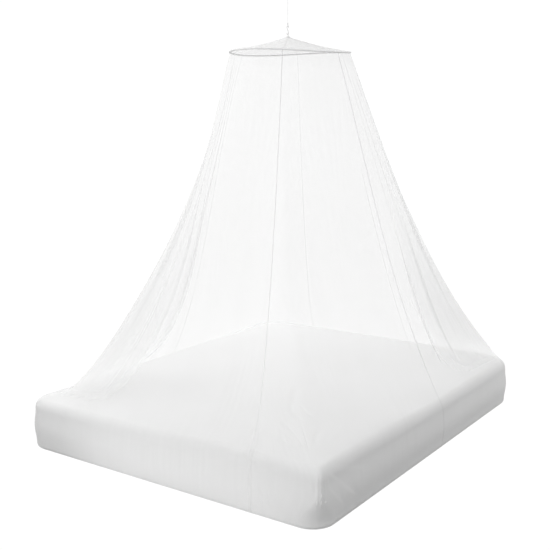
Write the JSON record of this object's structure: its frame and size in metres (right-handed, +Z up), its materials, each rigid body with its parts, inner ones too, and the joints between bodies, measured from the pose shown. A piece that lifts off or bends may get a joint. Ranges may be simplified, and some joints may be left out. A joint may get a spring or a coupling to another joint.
{
  "type": "mosquito net canopy over a double mattress",
  "caption": "Bell-shaped mosquito net on a round hoop, hung from a ceiling hook, falling over and tucked under a double mattress.",
  "frame": {"origin": "on the floor, under the middle of the mattress and of the hoop", "axes": "+X across the bed to its right, +Y along the bed to its head, +Z up"},
  "size_m": [1.636, 2.0162, 2.1332],
  "materials": {
    "net": "sheer white knitted net",
    "tape": "woven white tape",
    "hoop": "smooth white",
    "hook": "white coated wire",
    "cord": "twisted white cord",
    "mattress": "plain white cover"
  },
  "bodies": {
    "root": {"gore_foot": "net", "gore_foot_right": "net", "gore_right": "net", "gore_head": "net", "gore_head_left": "net", "gore_left": "net", "roof_foot": "net", "roof_foot_right": "net", "roof_right": "net", "roof_head": "net", "roof_head_left": "net", "roof_left": "net", "hoop": "hoop", "hoop_sleeve": "tape", "peak_loop": "tape", "s_hook": "hook", "ceiling_hook": "hook", "cord": "cord", "cord_eye_low": "cord", "cord_eye_high": "cord", "mattress": "mattress"}
  },
  "joints": []
}
